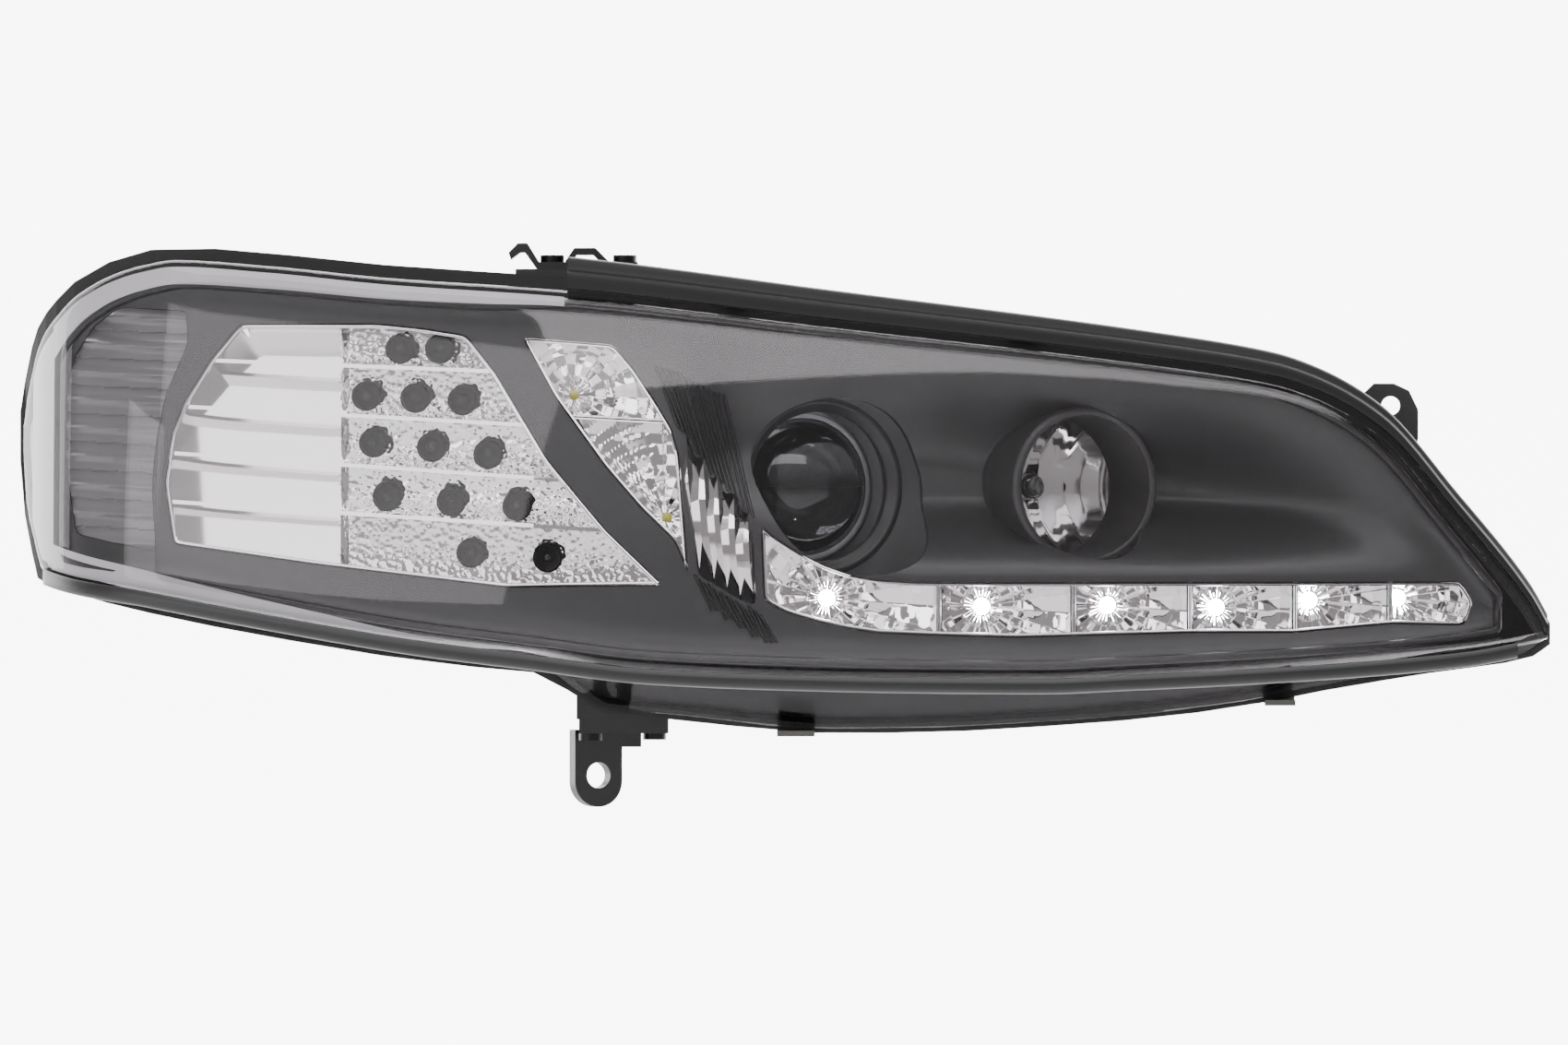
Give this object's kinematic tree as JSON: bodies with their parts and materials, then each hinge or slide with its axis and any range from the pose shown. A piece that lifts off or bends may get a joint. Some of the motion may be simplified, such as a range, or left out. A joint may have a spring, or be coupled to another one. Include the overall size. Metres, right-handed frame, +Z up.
{
  "type": "car headlight assembly",
  "caption": "Car headlight with clear wrapped lens, LED turn signal and daytime strip, aimable projector low beam and reflector high beam, rear covers and brackets.",
  "frame": {"origin": "centre of the bolt hole in the lower bracket's tab", "axes": "+X along the lamp face from the outboard end to the inboard tip, +Y to the rear of the lamp, +Z up"},
  "size_m": [0.653, 0.2606, 0.2402],
  "materials": {
    "housing_plastic": "moulded black polypropylene",
    "lens_clear": "hard-coated clear polycarbonate",
    "glue": "black butyl sealant",
    "seal_rubber": "extruded rubber",
    "lip_plastic": "satin black",
    "clip_steel": "spring steel",
    "bezel_black": "satin dark grey",
    "smoked_plastic": "smoked grey, ribbed",
    "chrome_coat": "vacuum-metallised",
    "led_clear": "clear epoxy dome",
    "led_chip": "phosphor chip",
    "led_lit": "lit white",
    "board_green": "solder mask",
    "optic_glass": "polished",
    "cast_metal": "die cast",
    "shield_steel": "blackened",
    "bulb_glass": "quartz",
    "bulb_base": "stamped",
    "spring_wire": "bright wire",
    "stud_steel": "zinc plated",
    "nylon_white": "natural nylon",
    "motor_black": "moulded",
    "knob_white": "acetal",
    "cover_black": "moulded",
    "gasket_rubber": "moulded rubber",
    "bracket_black": "satin black"
  },
  "bodies": {
    "lamp": {"housing": "housing_plastic", "low_neck": "housing_plastic", "high_neck": "housing_plastic", "front_lens": "lens_clear", "lens_glue_bead": "glue", "top_seal_strip": "seal_rubber", "lower_lip_strip": "lip_plastic", "lens_clips": "clip_steel", "bezel": "bezel_black", "side_marker_panel": "smoked_plastic", "turn_reflector": "chrome_coat", "turn_louvres": "chrome_coat", "turn_led_board": "board_green", "turn_leds": "led_clear", "drl_upper_reflector": "chrome_coat", "drl_upper_board": "board_green", "drl_upper_leds": "led_chip", "drl_lower_reflector": "chrome_coat", "drl_lower_board": "board_green", "drl_lower_leds": "led_lit", "drl_comb": "chrome_coat", "projector_shroud": "bezel_black", "high_beam_shroud": "bezel_black", "pivot_stud": "stud_steel", "levelling_motor": "motor_black", "connector_socket": "motor_black", "vent_cap": "gasket_rubber", "drl_driver_box": "motor_black", "side_marker_bulb": "bulb_glass", "side_marker_holder": "motor_black", "lower_bracket": "bracket_black", "upper_bracket": "bracket_black", "bracket_screws": "stud_steel"},
    "aim_socket": {"pivot_socket": "nylon_white"},
    "optics": {"optics_frame": "cast_metal", "projector_lens": "optic_glass", "projector_lens_ring": "cast_metal", "projector_bowl": "cast_metal", "cutoff_shield": "shield_steel", "low_bulb_glass": "bulb_glass", "low_bulb_base": "bulb_base", "high_beam_reflector": "chrome_coat", "high_bulb_glass": "bulb_glass", "high_bulb_base": "bulb_base"},
    "low_clip": {"low_bulb_clip": "spring_wire"},
    "high_clip": {"high_bulb_clip": "spring_wire"},
    "level_spindle": {"levelling_spindle": "nylon_white"},
    "side_rod": {"horizontal_adjuster_rod": "stud_steel"},
    "side_knob": {"horizontal_adjuster_knob": "knob_white"},
    "vertical_knob": {"vertical_adjuster_knob": "knob_white"},
    "low_gasket": {"low_cover_gasket": "gasket_rubber"},
    "low_cover": {"low_rear_cover": "cover_black", "low_cover_spigot": "cover_black"},
    "high_gasket": {"high_cover_gasket": "gasket_rubber"},
    "high_cover": {"high_rear_cover": "cover_black", "high_cover_spigot": "cover_black"}
  },
  "joints": [
    {"name": "aim_pan", "type": "hinge", "parent": "lamp", "child": "aim_socket", "pos_m": [-0.012, -0.002, 0.16], "axis": [0, 0, 1], "range_deg": [-2, 2]},
    {"name": "aim_tilt", "type": "hinge", "parent": "aim_socket", "child": "optics", "pos_m": [-0.012, -0.002, 0.16], "axis": [0.9063, 0.4226, 0], "range_deg": [-2.5, 2.5]},
    {"name": "low_clip_hinge", "type": "hinge", "parent": "optics", "child": "low_clip", "pos_m": [0.05626, 0.03551, 0.105], "axis": [-0.9063, -0.4226, 0], "range_deg": [0, 80]},
    {"name": "high_clip_hinge", "type": "hinge", "parent": "optics", "child": "high_clip", "pos_m": [0.16737, 0.02156, 0.105], "axis": [-0.9063, -0.4226, 0], "range_deg": [0, 80]},
    {"name": "level_slide", "type": "slide", "parent": "lamp", "child": "level_spindle", "axis": [-0.4226, 0.9063, 0], "range_m": [-0.0045, 0.0045]},
    {"name": "side_rod_slide", "type": "slide", "parent": "lamp", "child": "side_rod", "axis": [-0.4226, 0.9063, 0], "range_m": [-0.0045, 0.0045]},
    {"name": "side_knob_spin", "type": "hinge", "parent": "lamp", "child": "side_knob", "pos_m": [0.07647, 0.09222, 0.16], "axis": [-0.4226, 0.9063, 0], "range_deg": [-400, 400]},
    {"name": "vertical_knob_spin", "type": "hinge", "parent": "lamp", "child": "vertical_knob", "pos_m": [-0.05426, 0.08863, 0.116], "axis": [-0.4226, 0.9063, 0], "range_deg": [-400, 400]},
    {"name": "low_cover_pull", "type": "slide", "parent": "lamp", "child": "low_gasket", "axis": [-0.4226, 0.9063, 0], "range_m": [0, 0.06]},
    {"name": "low_cover_twist", "type": "hinge", "parent": "low_gasket", "child": "low_cover", "pos_m": [0.01686, 0.12001, 0.123], "axis": [-0.4226, 0.9063, 0], "range_deg": [0, 45]},
    {"name": "high_cover_pull", "type": "slide", "parent": "lamp", "child": "high_gasket", "axis": [-0.4226, 0.9063, 0], "range_m": [0, 0.06]},
    {"name": "high_cover_twist", "type": "hinge", "parent": "high_gasket", "child": "high_cover", "pos_m": [0.12201, 0.11882, 0.123], "axis": [-0.4226, 0.9063, 0], "range_deg": [0, 45]}
  ],
  "couplings": [
    {"joint": "level_slide", "follows": "aim_tilt", "m_per_rad": 0.086},
    {"joint": "vertical_knob_spin", "follows": "aim_tilt", "ratio": 135.09},
    {"joint": "side_rod_slide", "follows": "aim_pan", "m_per_rad": 0.12},
    {"joint": "side_knob_spin", "follows": "aim_pan", "ratio": 188.5}
  ]
}
